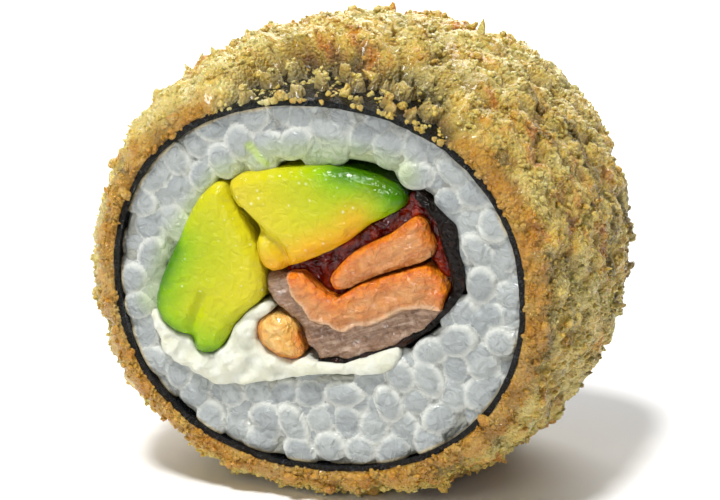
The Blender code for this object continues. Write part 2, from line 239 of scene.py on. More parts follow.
def set_down(name, shapes, places):
    """One mesh with a copy at each place. A place is the number of a shape and where it goes."""
    points, faces = [], []
    for shape, matrix in places:
        start = len(points)
        points.extend(matrix @ vert.co for vert in shapes[shape].data.vertices)
        faces.extend([start + i for i in face.vertices] for face in shapes[shape].data.polygons)
    mesh = bpy.data.meshes.new(name)
    mesh.from_pydata(points, [], faces)
    return new_object(name, mesh)


def put_away(*objects):
    for obj in objects:
        bpy.data.objects.remove(obj, do_unlink=True)


# %% [markdown]
# ## Materials: shared effects
#
# Food is never one flat colour. Four effects come back in almost every finish, so each is built once as a
# node group: mottle gives soft patches of colour, crumble the height of a rough surface, wet the wrinkles of
# a moist film with a roughness that goes with them, and droplets the tiny beads that sparkle. The sizes are
# lengths in metres on the food itself, because all of them read Object coordinates.

# %% Node helpers
def srgb(red, green, blue):
    """A colour as a picture program shows it, 0 to 255, turned into the linear values that shaders use."""
    parts = [c / 255.0 for c in (red, green, blue)]
    return tuple(((c + 0.055) / 1.055) ** 2.4 if c > 0.04045 else c / 12.92 for c in parts) + (1.0,)


def plug(tree, made, inputs):
    """Fills inputs of a node, by name or number, with values or with other nodes' outputs."""
    for name, value in inputs.items():
        if isinstance(value, bpy.types.NodeSocket):
            tree.links.new(value, made.inputs[name])
        else:
            made.inputs[name].default_value = value
    return made


def add_node(tree, kind, inputs, **settings):
    made = tree.nodes.new(kind)
    for name, value in settings.items():
        setattr(made, name, value)
    return plug(tree, made, inputs)


def math_node(tree, operation, *values, clamp=False):
    made = add_node(tree, "ShaderNodeMath", dict(enumerate(values)), operation=operation, use_clamp=clamp)
    return made.outputs[0]


def times(tree, first, second):
    return math_node(tree, "MULTIPLY", first, second)


def noise_node(tree, at, scale, detail, roughness=0.5, distortion=0.0):
    inputs = {"Vector": at, "Scale": scale, "Detail": detail, "Roughness": roughness,
              "Distortion": distortion}
    return add_node(tree, "ShaderNodeTexNoise", inputs).outputs["Fac"]


def beads_node(tree, at):
    """How far each place is from the nearest of many random points, which lie about 1 apart."""
    return add_node(tree, "ShaderNodeTexVoronoi", {"Vector": at, "Scale": 1.0}).outputs["Distance"]


def stretched(tree, vector, factors):
    return add_node(tree, "ShaderNodeVectorMath", {0: vector, 1: factors}, operation="MULTIPLY").outputs[0]


def range_node(tree, value, low, high, to_low=0.0, to_high=1.0):
    return add_node(tree, "ShaderNodeMapRange", {"Value": value, "From Min": low, "From Max": high,
                                                 "To Min": to_low, "To Max": to_high}).outputs[0]


def blend_colours(tree, factor, first, second):
    """The second colour over the first. The second is a node's output, or three numbers for srgb."""
    second = srgb(*second) if isinstance(second, tuple) else second
    return add_node(tree, "ShaderNodeMix", {0: factor, 6: first, 7: second}, data_type="RGBA").outputs[2]


def colour_ramp(tree, factor, *stops):
    """A colour for each value of factor. A stop is a position and three numbers for srgb."""
    made = add_node(tree, "ShaderNodeValToRGB", {0: factor})
    ramp = made.color_ramp
    while len(ramp.elements) < len(stops):
        ramp.elements.new(0.5)
    for element, (position, colour) in zip(ramp.elements, stops):
        element.position = position
        element.color = srgb(*colour)
    return made.outputs[0]


def new_group(name, outputs, **values):
    """A node group with its inputs, and its coordinates divided by Size, the size that its pattern gets."""
    group = bpy.data.node_groups.new(name, "ShaderNodeTree")
    group.interface.new_socket("Coordinates", in_out="INPUT", socket_type="NodeSocketVector")
    for socket, value in {"Size": MM, **values}.items():
        made = group.interface.new_socket(socket, in_out="INPUT", socket_type="NodeSocketFloat")
        made.default_value = value
    for socket in outputs:
        group.interface.new_socket(socket, in_out="OUTPUT", socket_type="NodeSocketFloat")
    given = group.nodes.new("NodeGroupInput").outputs
    scale = math_node(group, "DIVIDE", 1.0, given["Size"])
    at = add_node(group, "ShaderNodeVectorMath", {0: given["Coordinates"], 3: scale}, operation="SCALE")
    return group, given, at.outputs[0], group.nodes.new("NodeGroupOutput")


# %% The four shared effects
MOTTLE, given, at, out = new_group("mottle", ("Mask",), Contrast=2.0)
centred = math_node(MOTTLE, "SUBTRACT", noise_node(MOTTLE, at, 1.0, 4.0, 0.55), 0.5)
plug(MOTTLE, out, {"Mask": math_node(MOTTLE, "MULTIPLY_ADD", centred, given["Contrast"], 0.5, clamp=True)})

CRUMBLE, given, at, out = new_group("crumble", ("Height",))
rounded = math_node(CRUMBLE, "SUBTRACT", 1.0, beads_node(CRUMBLE, at))
dust = noise_node(CRUMBLE, at, 1.6, 5.0, 0.65)
plug(CRUMBLE, out, {"Height": math_node(CRUMBLE, "MULTIPLY_ADD", dust, 0.9, rounded)})

WET, given, at, out = new_group("wet", ("Height", "Roughness"), Roughness=0.25)
drier = times(WET, noise_node(WET, at, 0.25, 2.0), 0.5)
rougher = math_node(WET, "MULTIPLY_ADD", drier, given["Roughness"], times(WET, given["Roughness"], 0.75))
plug(WET, out, {"Height": noise_node(WET, at, 1.0, 3.0, 0.5, 0.6), "Roughness": rougher})

DROPLETS, given, at, out = new_group("droplets", ("Height",))
radius = range_node(DROPLETS, noise_node(DROPLETS, at, 0.35, 2.0), 0.42, 0.62, 0.0, 0.28)
dome = math_node(DROPLETS, "SUBTRACT", radius, beads_node(DROPLETS, at))
plug(DROPLETS, out, {"Height": math_node(DROPLETS, "MULTIPLY", dome, 4.0, clamp=True)})
print("node groups:", [g.name for g in bpy.data.node_groups])


# %% A new material with its coordinates at hand
def new_material(name, **values):
    """A Principled material. Values go to the shader's own sockets."""
    made = bpy.data.materials.new(name)
    made.use_nodes = True
    tree = made.node_tree
    shader = tree.nodes["Principled BSDF"]
    plug(tree, shader, {socket.replace("_", " "): value for socket, value in values.items()})
    return made, tree, shader, tree.nodes.new("ShaderNodeTexCoord").outputs["Object"]


def effect(tree, group, place, **values):
    """Puts a shared effect in a material, and gives its outputs."""
    return add_node(tree, "ShaderNodeGroup", {"Coordinates": place, **values}, node_tree=group).outputs


def mottle(tree, place, size, contrast):
    return effect(tree, MOTTLE, place, Size=size, Contrast=contrast)["Mask"]


def attribute(tree, name, output="Fac"):
    return add_node(tree, "ShaderNodeAttribute", {}, attribute_name=name).outputs[output]


def bump(tree, shader, height, strength, distance, under=None):
    """Raises the surface by a height, on top of the bump under it if there is one."""
    made = add_node(tree, "ShaderNodeBump", {"Height": height, "Strength": strength, "Distance": distance})
    if under is not None:
        plug(tree, made, {"Normal": under})
    plug(tree, shader, {"Normal": made.outputs[0]})
    return made.outputs[0]


def wet_film(tree, shader, place, size, roughness, strength, distance, under=None):
    """A moist film: its wrinkles as a bump, and its uneven gloss."""
    film = effect(tree, WET, place, Size=size, Roughness=roughness)
    plug(tree, shader, {"Roughness": film["Roughness"]})
    return bump(tree, shader, film["Height"], strength, distance, under)


def moist_material(name, patches, stops, film, **values):
    """A simple wet finish. Patches is the size and contrast of the mottle, film what wet_film takes."""
    made, tree, shader, place = new_material(name, **values)
    plug(tree, shader, {"Base Color": colour_ramp(tree, mottle(tree, place, *patches), *stops)})
    wet_film(tree, shader, place, *film)
    return made


# %% [markdown]
# ## The crumb coat
#
# The roll was dipped in batter, rolled in fine crumbs and deep-fried. The crumbs set in clumps of 2 to 4 mm
# with creases between them, and at the top of the front cut the coat broke off, so the nori shows.
#
# A displacement modifier could roughen a tube, but the coat has to keep the clumps of the CAD solid. So a
# flat grid is rolled up twice, as a mat would be: one way round the roll, the other way round the coat's own
# wall, over the outside, the back end, the inside and the front end. Each point is placed by the same clump
# formula as in the CAD part, and smaller crumbs are added on top of it. Then the two seams are merged.

# %% The relief of the coat
CRUST_AT_CUT = 1.4 * MM
CRUST_AT_BELLY = 2.9 * MM
COAT_INNER = NORI_THICKNESS - 0.15 * MM
CRAG_HEIGHT = 1.15 * MM
CRAG_SIZE = 3.4 * MM
# How far from the front cut the nori is bare, in mm, at angles round the roll counted from the right.
BARE = ((46, -3.0), (54, 1.8), (60, 5.0), (68, 6.0), (76, 5.6), (86, 7.2), (94, 8.4), (104, 9.0), (110, 7.4),
        (115, 1.4), (122, -3.0))
NOT_BARE = -3.0 * MM
BARE_EDGE = 3.0 * MM
ELSEWHERE = Vector((0.1, 0.0, 0.0))


def crag(co):
    """The relief of the crumb coat at a point: rounded clumps with creases between them, from -1 to 1."""
    at = co / CRAG_SIZE
    to_clump = noise.voronoi(at)[0][0]
    return max(-1.0, 0.55 - 1.5 * to_clump * to_clump + 0.35 * noise.fractal(at * 1.7, 0.9, 2.1, 3))


def crumbs(co, size):
    """Round crumbs of one size, from -0.5 to 0.5."""
    near = noise.voronoi(co / size)[0][0]
    return 0.5 - min(1.0, near * near * 1.6)


def bare_until(angle):
    """How far in from the front cut the coat broke off at this angle. Below 0 it is whole."""
    degrees = math.degrees(angle)
    for (before, depth_before), (after, depth_after) in zip(BARE, BARE[1:]):
        if before <= degrees < after:
            return (depth_before + (depth_after - depth_before) * (degrees - before) / (after - before)) * MM
    return NOT_BARE


def coat_left(angle, y):
    """0 where the coat broke off at the top of the front cut, 1 where it is whole."""
    bare_to = bare_until(angle)
    if bare_to <= NOT_BARE:
        return 1.0
    spot = Vector((22.0 * angle, y / MM, 0.0))
    bare_to += 2.0 * MM * noise.fractal(spot / 2.4, 0.8, 2.1, 4)
    island = smoothstep(0.2, 0.5, noise.fractal(spot / 2.0 + Vector((3.0, 7.0, 0.0)), 0.8, 2.1, 3))
    return max(0.5 * island, smoothstep(-0.1 * MM, BARE_EDGE, y + HALF - bare_to))


def thin_streak(co):
    """Where the coat is so thin that the nori darkens it: streaks round the roll, most on the right side. The
    whole right side also gets painted shade.
    """
    angle = angle_of(co)
    streak = noise.fractal(Vector((abs(angle) * 22.0 / 7.0, co.y / (2.6 * MM), 4.0)), 0.75, 2.1, 4)
    # Painted shade: the right side, away from the light, is darkened everywhere.
    shaded_right_side = smoothstep(1.25, 0.85, abs(angle + 0.15))
    return max(0.16 * shaded_right_side, smoothstep(0.0, 0.55, streak) * (0.3 + 0.6 * shaded_right_side))


# %% The coat's mesh
ROUND = 600
TOP_ROWS = 124
END_ROWS = 9
INNER_ROWS = 8
ACROSS = TOP_ROWS + 2 * END_ROWS + INNER_ROWS
COAT_HALF = HALF - 0.1 * MM
LOWEST = 0.3 * MM
THINNEST = 0.35 * MM
EDGE_ROUNDING = 2.4 * MM


def coat_surface(angle, y):
    """How far out the coat's outside is, how much of the coat is left there, and its clumps' height."""
    thickness = CRUST_AT_CUT + (CRUST_AT_BELLY - CRUST_AT_CUT) * swell(y)
    middle = on_section(angle, y, NORI_THICKNESS + LOWEST + thickness)
    clump = crag(middle)
    small = 0.36 * MM * crumbs(middle, 1.25 * MM) + 0.32 * MM * crumbs(middle + ELSEWHERE, 0.62 * MM)
    left = coat_left(angle, y)
    from_cut = max(0.0, HALF - abs(y))
    rounded = 0.42 + 0.58 * math.sqrt(min(1.0, from_cut / EDGE_ROUNDING))
    whole = max(THINNEST, (LOWEST + thickness + CRAG_HEIGHT * clump) * rounded)
    outside = NORI_THICKNESS - 0.12 * MM * (1.0 - left) + whole * left + small * smoothstep(0.1, 0.4, left)
    return outside, left, clump


def wall_place(row, top, ends, inner):
    """Where a row of a wall lies: along the roll from -1 to 1, and from 0 outside to 1 inside."""
    if row < top:
        return 2.0 * row / (top - 1) - 1.0, 0.0
    row -= top
    if row < ends:
        return 1.0, (row + 1) / (ends + 1)
    row -= ends
    if row < inner:
        return 1.0 - 2.0 * row / (inner - 1), 1.0
    return -1.0, 1.0 - (row - inner + 1) / (ends + 1)


def coat_row(angle, row):
    """How far out and where along the roll a row of the coat lies, how much is left there, and its clump."""
    along, inward = wall_place(row, TOP_ROWS, END_ROWS, INNER_ROWS)
    y = COAT_HALF * along
    if inward == 1.0:
        return COAT_INNER, y, 1.0, 0.0
    edge, left, clump = coat_surface(angle, y)
    if inward == 0.0:
        return edge, y, left, clump
    outside = edge + (COAT_INNER - edge) * inward
    spot = on_section(angle, y, outside)
    rough = 0.7 * MM * crumbs(spot, 1.3 * MM) + 0.3 * MM * crumbs(spot, 0.6 * MM)
    middle = math.sin(math.pi * min(1.0, inward * 1.1))
    return outside, y + math.copysign(rough * max(0.0, middle) * left, y), left, clump


def grid_to_roll(name, rounds, across):
    """A flat grid, and for each of its points the angle round the roll and the row that it will be in."""
    bpy.ops.mesh.primitive_grid_add(x_subdivisions=rounds, y_subdivisions=across, size=2.0)
    sheet = bpy.context.active_object
    sheet.name = name
    cells = []
    for vert in sheet.data.vertices:
        ring = round((vert.co.x + 1.0) / 2.0 * rounds) % rounds
        angle = 2.0 * math.pi * ring / rounds
        cells.append((angle - 2.0 * math.pi if angle > math.pi else angle,
                      round((vert.co.y + 1.0) / 2.0 * across) % across))
    return sheet, cells


coat, cells = grid_to_roll("crumb_coat", ROUND, ACROSS)
wall = []
for angle, row in cells:
    outside, y, left, clump = coat_row(angle, row)
    spot = on_section(angle, y, outside)
    spot.z = max(0.0, spot.z)
    wall.append((spot, left, clump))
move_points(coat, lambda vert: wall[vert.index][0])
print("coat:", len(coat.data.vertices), "points")

# %% What the coat's material has to know
def write_colour_masks(obj):
    """Where the oil browned the coat most, at the cuts but not in the bare patch, and where it is thin or has
    painted shade on the right side.
    """
    def at_cut(vert):
        patch = smoothstep(NOT_BARE, 0.0, bare_until(angle_of(vert.co))) if vert.co.y < 0.0 else 0.0
        return smoothstep(HALF - 1.8 * MM, HALF - 0.2 * MM, abs(vert.co.y)) * (1.0 - 0.8 * patch)

    write_mask(obj, "cut_side", at_cut)
    write_mask(obj, "streak", lambda vert: thin_streak(vert.co))


write_mask(coat, "clump", lambda vert: 0.5 + 0.5 * wall[vert.index][2])
write_mask(coat, "coat_left", lambda vert: wall[vert.index][1])
write_mask(coat, "top", lambda vert: float(not 0 <= cells[vert.index][1] - TOP_ROWS - END_ROWS < INNER_ROWS))
write_colour_masks(coat)
edit(coat, merge_seams, face_outwards)
print("masks on the coat:", [mask.name for mask in coat.data.attributes])

# %% [markdown]
# ### Loose crumbs
#
# Close to, the coat is a heap of single crumbs from 0.3 to 1.4 mm. A few crumbs are modelled as small balls
# with dented sides, and copies of them are set into the coat at random, mostly where the coat is whole and
# in a few islands on the bare nori. They have few faces each, because there are thousands.

# %% Model the crumbs
def model_crumb(name, detail, seed):
    bpy.ops.mesh.primitive_ico_sphere_add(subdivisions=detail, radius=0.5)
    crumb = bpy.context.active_object
    crumb.name = name
    def dented(vert):
        shift = Vector((seed * 3.7, 0.0, 0.0))
        return vert.co * (1.0 + 0.55 * noise.noise(vert.co * 2.3 + shift))
    return move_points(crumb, dented)


large_crumbs = [model_crumb(f"large_crumb_{i}", 2, i + 1) for i in range(5)]
small_crumbs = [model_crumb(f"small_crumb_{i}", 1, i + 11) for i in range(6)]
print("faces of a crumb:", [len(crumb.data.polygons) for crumb in (large_crumbs[0], small_crumbs[0])])

# %% Set them into the coat
CROWD_SIZE = 2.2 * MM
ISLAND_SIZE = 1.7 * MM
rng = random.Random(20)
coat_masks = coat.data.attributes
top_points = [i for i, item in enumerate(coat_masks["top"].data) if item.value > 0.5]
left_at = [item.value for item in coat_masks["coat_left"].data]


def crumb_places(count, kinds, smallest, largest, sunk, sharp):
    """Random places on the coat's outside, each turned and stretched at random. A few stand up as spikes."""
    places = []
    verts = coat.data.vertices
    while len(places) < count:
        vert = verts[rng.choice(top_points)]
        size = smallest + (largest - smallest) * rng.random() ** 2.2
        turn = Matrix.Rotation(rng.uniform(0, 6.28), 4, "X") @ Matrix.Rotation(rng.uniform(0, 6.28), 4, "Z")
        wide, deep = rng.uniform(0.7, 1.3), rng.uniform(0.7, 1.1)
        stretch = Matrix.Diagonal((size * wide, size * deep, size * 0.9, 1.0))
        kind = rng.randrange(kinds)
        chance = rng.random()
        crowd = 0.5 + 0.9 * noise.noise(vert.co / CROWD_SIZE)
        if left_at[vert.index] < 0.35:
            crowd = 3.4 * noise.noise(vert.co / ISLAND_SIZE + Vector((5, 0, 0))) + 0.1
        spot = vert.co + vert.normal * size * (0.5 - sunk)
        if chance > crowd or spot.z < 0.45 * size:
            continue
        if sharp * size > rng.random() * MM and abs(vert.normal.y) < 0.5:
            turn = vert.normal.to_track_quat("Z", "Y").to_matrix().to_4x4()
            stretch = Matrix.Diagonal((size * 0.8, size * 0.6, size * 1.8, 1.0))
        places.append((kind, Matrix.Translation(spot) @ turn @ stretch))
    return places


large = set_down("large_crumbs", large_crumbs, crumb_places(
    count=420, kinds=5, smallest=0.7 * MM, largest=1.4 * MM, sunk=0.42, sharp=0.22))
small = set_down("small_crumbs", small_crumbs, crumb_places(
    count=9600, kinds=6, smallest=0.30 * MM, largest=0.72 * MM, sunk=0.44, sharp=0.0))
put_away(*large_crumbs, *small_crumbs)
for heap in (large, small):
    move_points(heap, lambda vert: Vector((vert.co.x, vert.co.y, max(0.0, vert.co.z))))
    write_colour_masks(heap)
print("crumb triangles:", triangles(large), triangles(small))

# %% [markdown]
# ### The coat's material
#
# Fried crumbs are pale yellow where they are thick, golden to deep orange in spots where the oil was
# hottest, and olive brown in the creases, where the coat is thin and the nori darkens it; the creases also
# get painted shade in that olive brown. The height stored on the mesh steers the creases, and two sizes of
# mottle give the spots. More masks on the mesh say where the cuts are browned and where dark streaks run,
# which also paint shade over the right side. Oil makes tiny glints, so the roughness varies and a fine bump
# breaks the light.

# %% Fried crumbs
def fried_material(name, crease_shade_from):
    """Creases get painted shade, olive dark, where the clumps are lower than the given crease level. Loose
    crumbs have none, so it is None.
    """
    made, tree, shader, place = new_material(
        name, Roughness=0.4, Specular_IOR_Level=0.8, Subsurface_Weight=0.3, Subsurface_Radius=(1.0, 0.6, 0.3),
        Subsurface_Scale=0.8 * MM, Coat_Weight=0.22, Coat_Roughness=0.14)
    wide = mottle(tree, place, 9.0 * MM, 3.2)
    spots = mottle(tree, place, 2.2 * MM, 3.0)
    grit = mottle(tree, place, 0.5 * MM, 2.5)
    heat = math_node(tree, "MULTIPLY_ADD", spots, 0.5, times(tree, wide, 0.6), clamp=True)
    colour = colour_ramp(tree, heat, (0.0, (250, 232, 152)), (0.4, (248, 218, 112)), (0.68, (242, 198, 68)),
                         (0.88, (236, 164, 30)), (1.0, (224, 130, 12)))
    colour = blend_colours(tree, times(tree, grit, 0.3), colour, (254, 240, 172))
    # Dark streaks of thin coat, and painted shade over the right side.
    thin_or_shaded = times(tree, attribute(tree, "streak"), range_node(tree, grit, 0.1, 0.9, 1.0, 0.6))
    colour = blend_colours(tree, thin_or_shaded, colour, (98, 82, 32))
    browned = times(tree, attribute(tree, "cut_side"), range_node(tree, spots, 0.0, 1.0, 0.6, 1.0))
    colour = blend_colours(tree, browned, colour, (198, 134, 12))
    if crease_shade_from is not None:
        # Painted shade in the low creases, over the olive of the thin coat there.
        deep = range_node(tree, attribute(tree, "clump"), crease_shade_from, crease_shade_from - 0.35)
        uneven = math_node(tree, "MULTIPLY_ADD", wide, 0.5, 0.35)
        crease_shade = math_node(tree, "MULTIPLY", deep, uneven, clamp=True)
        colour = blend_colours(tree, crease_shade, colour, (112, 90, 36))
        torn = range_node(tree, attribute(tree, "coat_left"), 0.75, 0.1, 0.0, 0.8)
        colour = blend_colours(tree, torn, colour, (76, 70, 50))
    plug(tree, shader, {"Base Color": colour, "Roughness": range_node(tree, grit, 0.0, 1.0, 0.16, 0.5)})
    bump(tree, shader, effect(tree, CRUMBLE, place, Size=0.34 * MM)["Height"], 1.0, 0.4 * MM)
    return made


finish_piece(coat, fried_material("fried_crumb_coat", 0.62), "crust", "crust")
crumb_material = fried_material("fried_crumbs", None)
for heap in (large, small):
    finish_piece(heap, crumb_material, "crust")

# %% [markdown]
# ## The nori sheet
#
# Nori is pressed seaweed, half a millimetre thick here because it is rolled double and has drawn water. It
# is nearly black, with a blue green cast, and its fibres run along the roll and catch the light; their glints
# are also painted into the colour as pale blue grey streaks. Its cut edge is a thin wavy line. The sheet is
# again a grid that is rolled up twice, round the roll and round its own thin wall, so that both cut edges are
# closed and can be ragged.

# %% The sheet's mesh
SHEET_ROUND = 480
SHEET_TOP = 60
SHEET_END = 3
SHEET_INNER = 12
SHEET_ACROSS = SHEET_TOP + 2 * SHEET_END + SHEET_INNER


def sheet_wave(angle, y):
    """The sheet isn't perfectly flat: it follows the grains under it and has fine wrinkles."""
    spot = Vector((math.cos(angle) * 7.0, y / (9.0 * MM), math.sin(angle) * 7.0))
    fine = Vector((math.cos(angle) * 30.0, y / (6.0 * MM), math.sin(angle) * 30.0))
    return 0.16 * MM * noise.noise(spot) + 0.05 * MM * noise.noise(fine)


def sheet_row(angle, row):
    """How far out and where along the roll a row of the sheet's wall lies."""
    ragged = 0.14 * MM * noise.fractal(Vector((math.cos(angle) * 9, math.sin(angle) * 9, 2.0)), 0.8, 2.0, 3)
    along, inward = wall_place(row, SHEET_TOP, SHEET_END, SHEET_INNER)
    rounded = 0.05 * MM if 0.0 < inward < 1.0 else 0.0
    y = (HALF + ragged + rounded) * along
    outer = NORI_THICKNESS + sheet_wave(angle, y)
    inner = 0.02 * MM + 0.5 * sheet_wave(angle, 0.0)
    return outer + (inner - outer) * inward, y


nori, cells = grid_to_roll("nori_sheet", SHEET_ROUND, SHEET_ACROSS)


def sheet_point(vert):
    angle, row = cells[vert.index]
    outside, y = sheet_row(angle, row)
    return on_section(angle, y, outside)


move_points(nori, sheet_point)
edit(nori, merge_seams, face_outwards)
print("nori:", len(nori.data.vertices), "points")

# %% Pressed seaweed
nori_material, tree, shader, place = new_material("pressed_seaweed", Roughness=0.4, Specular_IOR_Level=0.5)
patches = mottle(tree, place, 2.5 * MM, 2.6)
colour = colour_ramp(tree, patches, (0.0, (8, 10, 13)), (0.6, (18, 22, 26)), (1.0, (40, 42, 38)))
# The fibres are long along Y, so that coordinate is multiplied by a smaller number.
strands = noise_node(tree, stretched(tree, place, (2600.0, 1100.0, 2600.0)), 1.0, 5.0, 0.7, 1.2)
# Painted highlight: the fibres' glints are painted pale blue grey into the colour.
colour = blend_colours(tree, range_node(tree, strands, 0.56, 0.74), colour, (92, 100, 114))
plug(tree, shader, {"Base Color": colour, "Roughness": range_node(tree, strands, 0.3, 0.7, 0.12, 0.35)})
bump(tree, shader, strands, 1.0, 2.2 * MM)
finish_piece(nori, nori_material, "nori", "nori")

# %% [markdown]
# ## The rice
#
# Boiled sushi rice is round and sticky. On the cut every grain shows as an oval, 3 to 4 mm across, one over
# the edge of the next, and grains by the nori are pressed flat against it. The CAD node is a core with
# grains of few sides. It is used twice here: rays shot at it say where there is rice on the cut, and a
# softened copy of it stays as the starchy mass behind the grains.

# %% Where there is rice
depsgraph = bpy.context.evaluated_depsgraph_get()
rice_tree = BVHTree.FromObject(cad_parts["rice"], depsgraph)


def is_rice(x, z, face):
    """Whether a ray along the axis, from outside one cut, meets rice within 2.5 mm of the cut."""
    start = Vector((x, face * 0.03, AXIS_HEIGHT + z))
    spot = rice_tree.ray_cast(start, Vector((0.0, -face, 0.0)))[0]
    return spot is not None and face * spot.y > HALF - 2.5 * MM


def well_in_rice(spot, face, margin):
    from_nori = section_radius(math.atan2(spot.y, spot.x), 0.0) - spot.length
    if from_nori < margin:
        return False
    ring = [(0, 0)] + [(math.cos(a), math.sin(a)) for a in (0.0, 0.8, 1.6, 2.4, 3.1, 3.9, 4.7, 5.5)]
    return all(is_rice(spot.x + c * margin, spot.y + s * margin, face) for c, s in ring)


THROWS = 4000
PUSHES = 25


def spread_grains(face, spacing, margin, seed):
    """Places for grains: thrown down at random, then pushed apart until they lie evenly."""
    rng = random.Random(seed)
    places = []
    for _ in range(THROWS):
        spot = Vector((rng.uniform(-1, 1) * RICE_HALF_WIDTH, rng.uniform(-1, 1) * RICE_HALF_HEIGHT))
        free = all((spot - other).length > spacing * 0.8 for other in places)
        if free and well_in_rice(spot, face, margin):
            places.append(spot)
    for _ in range(PUSHES):
        for index, spot in enumerate(places):
            push = Vector((0.0, 0.0))
            for other in places:
                apart = spot - other
                if 0.0 < apart.length < spacing:
                    push += apart.normalized() * (spacing - apart.length) * 0.4
            if push.length > 0.0 and well_in_rice(spot + push, face, margin):
                places[index] = spot + push
    return places


FRONT, BACK = -1, 1
SPACING, MARGIN = 2.85 * MM, 0.85 * MM
front_spots = spread_grains(FRONT, SPACING, MARGIN, 11)
back_spots = spread_grains(BACK, SPACING, MARGIN, 12)
print("grains on the front and back cut:", len(front_spots), len(back_spots))

# %% [markdown]
# ### One grain, then many
#
# A grain starts as a cube, cut once in each direction and cast into a ball: 24 faces, which is enough for a
# copy that is later smoothed by subdivision. Real grains are a little bent and thicker at one end, so four
# versions are made. Each copy is stretched, turned and tipped at random, and sits a little deeper or higher
# than the next, so that grains overlap like pebbles. Then a voxel remesh fuses them into one skin: light can
# wander from grain to grain through it, and starch fills the creases, as in real sticky rice.

# %% Model the grains
def model_grain(name, bend, belly):
    bpy.ops.mesh.primitive_cube_add(size=1.0)
    grain = bpy.context.active_object
    grain.name = name
    edit(grain, lambda: bpy.ops.mesh.subdivide(number_cuts=1))
    cast = grain.modifiers.new("ball", "CAST")
    cast.factor = 1.0
    cast.size = 0.5
    cast.use_radius_as_size = False
    settle(grain)
    longest = max(vert.co.length for vert in grain.data.vertices)
    def shaped(vert):
        co = vert.co * 0.57 / longest
        thick = 1.0 + belly * co.x
        return Vector((co.x, co.y * thick, co.z * thick + bend * (co.x * co.x - 0.08)))
    return move_points(grain, shaped)


GRAIN_LENGTH, GRAIN_WIDTH, GRAIN_DEPTH = 4.5 * MM, 3.4 * MM, 1.9 * MM
BEHIND_LENGTH, BEHIND_SPACING, BEHIND_MARGIN = 4.4 * MM, 2.7 * MM, 0.5 * MM
grain_shapes = [model_grain("grain_0", 0.0, 0.0), model_grain("grain_1", 0.25, 0.2),
                model_grain("grain_2", -0.2, 0.35), model_grain("grain_3", 0.12, -0.25)]
print("faces of a grain:", len(grain_shapes[0].data.polygons))

# %% Lay them on the cuts and fuse them
def lay_grains(spots, face, seed, deeper, length):
    """Places for copies: the grain's long side lies in the cut, its depth along the axis."""
    rng = random.Random(seed)
    places = []
    for spot in spots:
        wide = GRAIN_WIDTH * rng.uniform(0.92, 1.14)
        long = length * rng.uniform(0.82, 1.22)
        thick = GRAIN_DEPTH * rng.uniform(0.9, 1.1)
        y = face * (HALF - 0.02 * MM - thick / 2 - deeper - rng.uniform(0.0, 0.55) * MM)
        turn = Matrix.Rotation(rng.uniform(0, math.pi), 4, "Y")
        tip = Matrix.Rotation(rng.uniform(-0.14, 0.14), 4, "Z")
        size = Matrix.Diagonal((long, thick, wide, 1.0))
        middle = Matrix.Translation((spot.x, y, AXIS_HEIGHT + spot.y))
        places.append((rng.randrange(4), middle @ (turn @ tip) @ size))
    return places


def press_in(vert):
    """Keeps a grain inside the nori."""
    co = vert.co
    limit = section_radius(angle_of(co), BELLY * swell(co.y) - 0.10 * MM)
    reach = math.hypot(co.x, co.z - AXIS_HEIGHT)
    if reach > limit:
        scale = (limit + 0.08 * (reach - limit)) / reach
        co = Vector((co.x * scale, co.y, AXIS_HEIGHT + (co.z - AXIS_HEIGHT) * scale))
    return co


def grain_masks(piece, places):
    """For each point of the fused skin: a number for the grain it belongs to, and how far out on it it is."""
    middles = KDTree(len(places))
    for index, (_, matrix) in enumerate(places):
        middles.insert(matrix.translation, index)
    middles.balance()
    inside = [matrix.inverted() for _, matrix in places]
    grain, rim = [], []
    for vert in piece.data.vertices:
        near = [(inside[index] @ vert.co, index) for _, index, _ in middles.find_n(vert.co, 7)]
        local, index = min(near, key=lambda pair: pair[0].length)
        grain.append((index * 0.618) % 1.0)
        rim.append(2.0 * math.hypot(local.x, local.z))
    return grain, rim


def grain_piece(name, face, spots, seed):
    """The grains of one cut: those that were spread, and a closer layer behind them."""
    places = lay_grains(spots, face, seed, 0.0, GRAIN_LENGTH)
    behind = spread_grains(face, BEHIND_SPACING, BEHIND_MARGIN, seed + 50)
    places += lay_grains(behind, face, seed + 1, 0.4 * MM, BEHIND_LENGTH)
    piece = set_down(name, grain_shapes, places)
    smooth = piece.modifiers.new("round", "SUBSURF")
    smooth.levels = smooth.render_levels = 2
    remesh_softly(piece, FINE_MESH, 1)
    move_points(piece, press_in)
    grain, rim = grain_masks(piece, places)
    write_mask(piece, "grain", lambda vert: grain[vert.index])
    write_mask(piece, "rim", lambda vert: rim[vert.index])
    return piece


front_grains = grain_piece("rice_grains_front", FRONT, front_spots, 31)
back_grains = grain_piece("rice_grains_back", BACK, back_spots, 32)
put_away(*grain_shapes)
print("grain triangles:", triangles(front_grains), triangles(back_grains))

# %% [markdown]
# ### The starchy mass behind the grains
#
# Voxel remeshing turns the copied CAD solid into one even skin. Pushed back from the cut and given soft
# bumps of grain size, it closes the gaps between the grains, so that no light falls through.

# %% A soft copy of a CAD solid
def soft_copy(name, source, voxel, grow, smooth=4):
    """A new piece with the form of a CAD node: merged, remeshed evenly, smoothed and grown a little."""
    obj = new_object(name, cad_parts[source].data.copy())
    edit(obj, merge_seams)
    remesh_softly(obj, voxel, smooth)
    normals = [vert.normal.copy() for vert in obj.data.vertices]
    return move_points(obj, lambda vert: vert.co + normals[vert.index] * grow)


CORE_HALF = HALF - 1.0 * MM
core = soft_copy("rice_core", "rice", 0.42 * MM, 0.1 * MM, 8)


